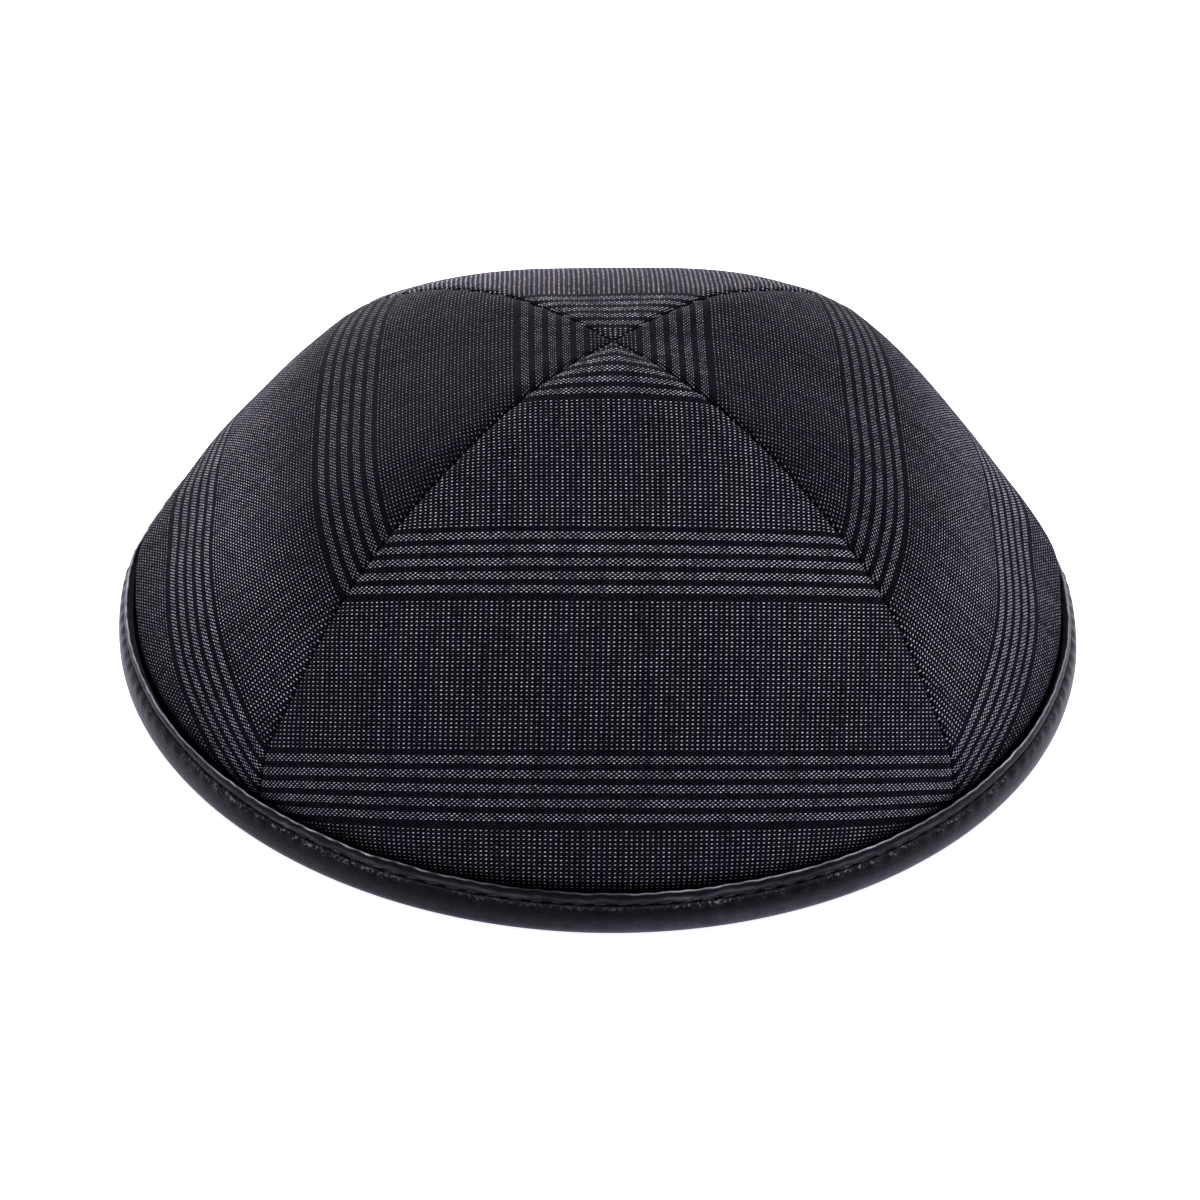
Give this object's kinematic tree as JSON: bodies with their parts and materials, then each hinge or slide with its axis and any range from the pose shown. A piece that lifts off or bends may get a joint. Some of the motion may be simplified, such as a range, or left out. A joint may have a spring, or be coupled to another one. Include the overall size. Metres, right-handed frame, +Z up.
{
  "type": "kippah",
  "caption": "Round close-fitting cap of woven cloth panels sewn into a low rounded-square dome, with a padded leather binding round its open rim.",
  "frame": {"origin": "centre of the rim on the surface it stands on", "axes": "+Z up through the top of the crown, -Y towards the front panel, +X towards the right panel"},
  "size_m": [0.1712, 0.169, 0.0608],
  "materials": {
    "cloth": "matt woven cloth, pale nailhead dots on near-black ground with bands of closer-dotted stripes",
    "leather": "smooth black leather with a fine grain and a soft blue-grey sheen"
  },
  "bodies": {
    "root": {"panel_front": "cloth", "panel_right": "cloth", "panel_back": "cloth", "panel_left": "cloth", "rim_binding": "leather"}
  },
  "joints": []
}
